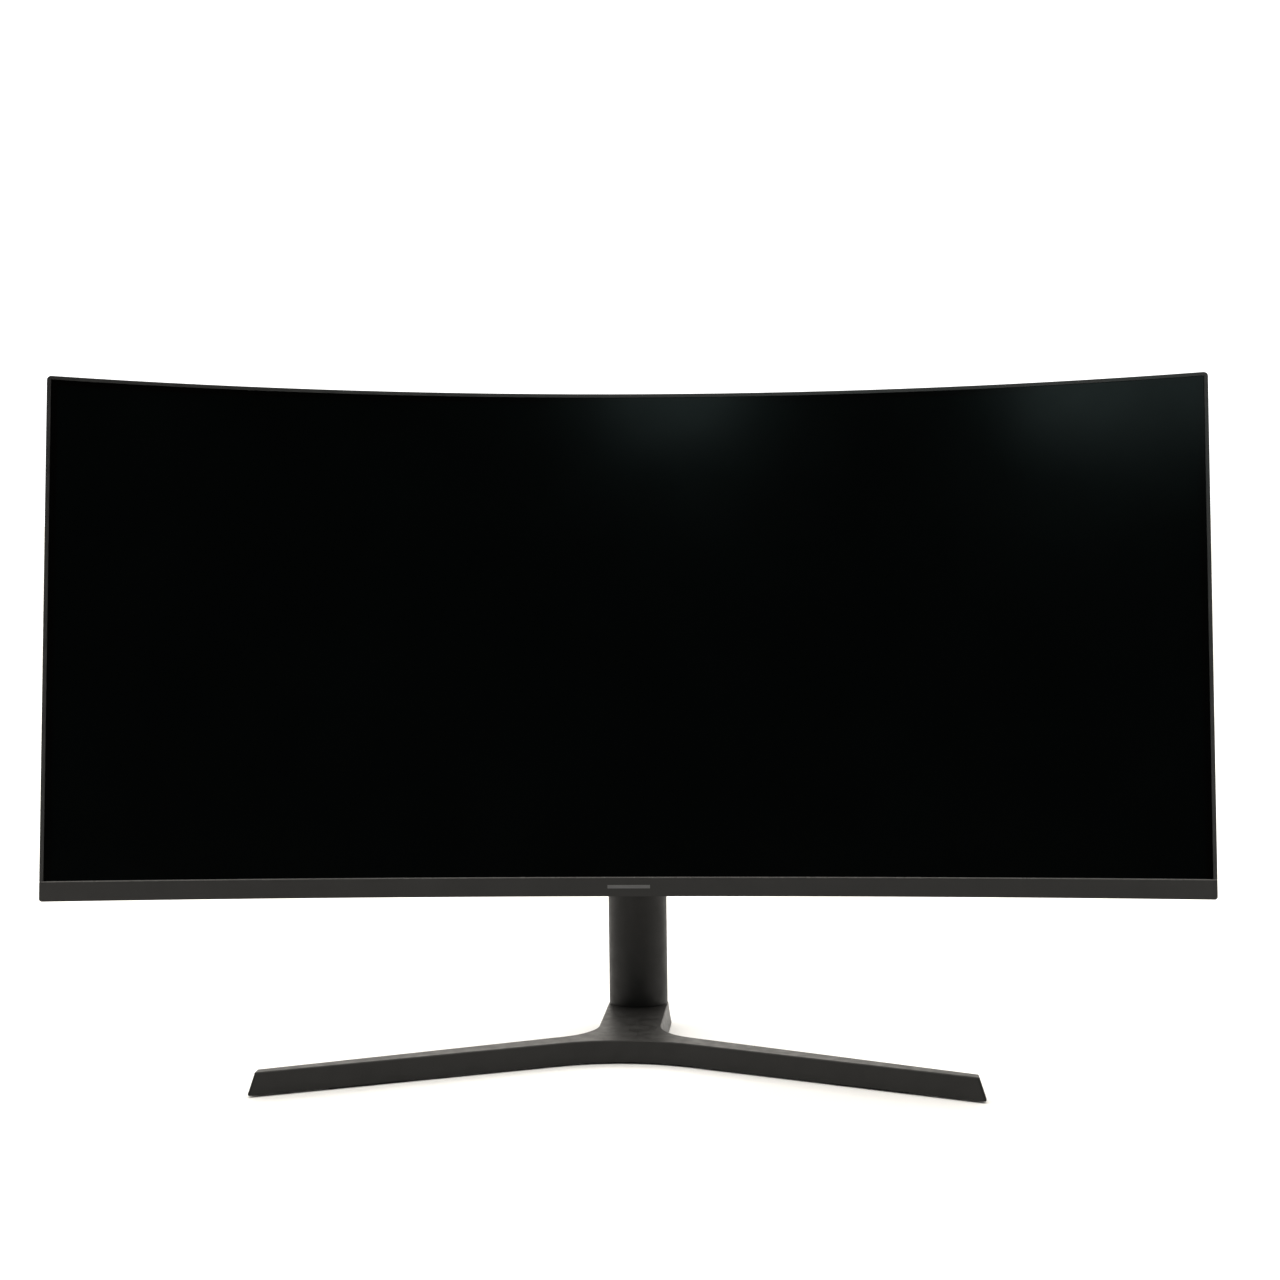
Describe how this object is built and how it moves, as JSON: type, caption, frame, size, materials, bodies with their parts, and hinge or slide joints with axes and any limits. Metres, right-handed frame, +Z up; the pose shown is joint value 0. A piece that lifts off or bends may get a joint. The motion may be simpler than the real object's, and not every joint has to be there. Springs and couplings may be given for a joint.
{
  "type": "computer monitor",
  "caption": "Wide curved desktop monitor with a thin bezel, a chin strip and an oval column that lifts, swivels and tilts the screen on a flat V-shaped base.",
  "frame": {"origin": "on the desk, below the axis of the column", "axes": "+X to the right as the viewer sees the screen, -Y from the column towards the viewer, +Z up; the screen at rest is swivelled 4 degrees, tilted back 7.6 degrees and turned level by 0.5 degrees on its stand"},
  "size_m": [0.7906, 0.2751, 0.4871],
  "materials": {
    "base_paint": "satin",
    "column_paint": "satin",
    "core_steel": "matte",
    "bezel_plastic": "satin",
    "chin_plastic": "fine grained satin",
    "cover_plastic": "fine grained matte",
    "badge_metal": "brushed",
    "screen_glass": "anti-glare matte",
    "sheet_white": "satin",
    "guide_acrylic": "polished",
    "sheet_steel": "galvanised",
    "board_green": "solder mask",
    "part_black": "moulded",
    "socket_metal": "tin plated",
    "heat_sink_metal": "anodised",
    "spring_steel": "blued",
    "hinge_steel": "black zinc",
    "shaft_steel": "turned",
    "cast_metal": "cast",
    "screw_steel": "black zinc",
    "insert_brass": "turned",
    "glide_white": "moulded",
    "pad_rubber": "matte",
    "strip_white": "solder mask",
    "button_plastic": "grained"
  },
  "bodies": {
    "stand": {"base_shell": "base_paint", "base_core": "core_steel", "base_screws": "screw_steel", "foot_pads": "pad_rubber", "foot_socket": "cast_metal", "column_foot": "cast_metal", "column_tube": "column_paint", "column_cap": "cover_plastic", "cable_clip": "cover_plastic", "lift_rail": "sheet_steel", "spring_axle": "shaft_steel"},
    "base_knob": {"thumb_screw": "shaft_steel"},
    "spring_spool": {"spring_hub": "glide_white", "spring_coil": "spring_steel"},
    "carriage": {"lift_carriage": "cast_metal", "glide_pads": "glide_white", "lift_bracket": "hinge_steel", "bracket_screws": "screw_steel", "swivel_pin": "shaft_steel", "spring_band": "spring_steel"},
    "swivel": {"swivel_block": "cast_metal", "friction_washers": "glide_white", "tilt_shafts": "shaft_steel", "tilt_nuts": "screw_steel"},
    "tilt": {"tilt_bracket": "hinge_steel"},
    "display": {"head_plate": "hinge_steel", "level_pin": "shaft_steel", "front_bezel": "bezel_plastic", "chin_trim": "chin_plastic", "chin_badge": "badge_metal", "lcd_glass": "screen_glass", "optical_sheets": "sheet_white", "light_guide": "guide_acrylic", "reflector_sheet": "sheet_white", "led_strip": "strip_white", "led_packages": "sheet_white", "mid_frame": "part_black", "panel_chassis": "sheet_steel", "rear_cover": "cover_plastic", "cover_screws": "screw_steel", "mount_inserts": "insert_brass", "board_tray": "sheet_steel", "board_posts": "insert_brass", "main_board": "board_green", "board_chips": "part_black", "heat_sink": "heat_sink_metal", "power_board": "board_green", "power_parts": "part_black", "timing_board": "board_green", "flat_cables": "glide_white", "video_sockets": "socket_metal", "wide_video_socket": "socket_metal", "audio_jack": "part_black", "power_inlet": "part_black", "joystick_board": "board_green", "latch_spring": "spring_steel"},
    "release": {"release_button": "button_plastic"},
    "joystick_ring": {"joystick_gimbal": "glide_white"},
    "joystick_post": {"joystick_stem": "glide_white"},
    "joystick_cap": {"joystick_knob": "button_plastic"}
  },
  "joints": [
    {"name": "base_screw_turn", "type": "hinge", "parent": "stand", "child": "base_knob", "pos_m": [0, 0, 0.01], "axis": [0, 0, 1], "continuous": true},
    {"name": "height_slide", "type": "slide", "parent": "stand", "child": "carriage", "axis": [0, 0, 1], "range_m": [-0.05, 0.05], "deforming": ["spring_band"]},
    {"name": "spool_turn", "type": "hinge", "parent": "stand", "child": "spring_spool", "pos_m": [0, 0, 0.381], "axis": [1, 0, 0], "range_deg": [-310, 310]},
    {"name": "screen_swivel", "type": "hinge", "parent": "carriage", "child": "swivel", "pos_m": [0, -0.05, 0.2895], "axis": [0, 0, 1], "range_deg": [-24, 16]},
    {"name": "screen_tilt", "type": "hinge", "parent": "swivel", "child": "tilt", "pos_m": [0, -0.05, 0.2895], "axis": [-0.9976, -0.0698, 0], "range_deg": [-12.6, 12.4]},
    {"name": "screen_level", "type": "hinge", "parent": "tilt", "child": "display", "pos_m": [0, -0.05, 0.2895], "axis": [-0.0691, 0.9888, -0.1323], "range_deg": [-3.5, 2.5]},
    {"name": "release_press", "type": "slide", "parent": "display", "child": "release", "axis": [0.0005, -0.1325, -0.9912], "range_m": [0, 0.0046], "stiffness_N_per_m": 500, "deforming": ["latch_spring"]},
    {"name": "joystick_up_down", "type": "hinge", "parent": "display", "child": "joystick_ring", "pos_m": [0.2985, -0.12849, 0.15083], "axis": [0.9748, -0.2211, 0.0301], "range_deg": [-6, 6], "stiffness_Nm_per_rad": 0.03},
    {"name": "joystick_left_right", "type": "hinge", "parent": "joystick_ring", "child": "joystick_post", "pos_m": [0.2985, -0.12849, 0.15083], "axis": [-0.0005, 0.1325, 0.9912], "range_deg": [-6, 6], "stiffness_Nm_per_rad": 0.03},
    {"name": "joystick_press", "type": "slide", "parent": "joystick_post", "child": "joystick_cap", "axis": [-0.2231, -0.9662, 0.1291], "range_m": [0, 0.0008], "stiffness_N_per_m": 600}
  ],
  "couplings": [
    {"joint": "spool_turn", "follows": "height_slide", "rad_per_m": 106.95}
  ]
}
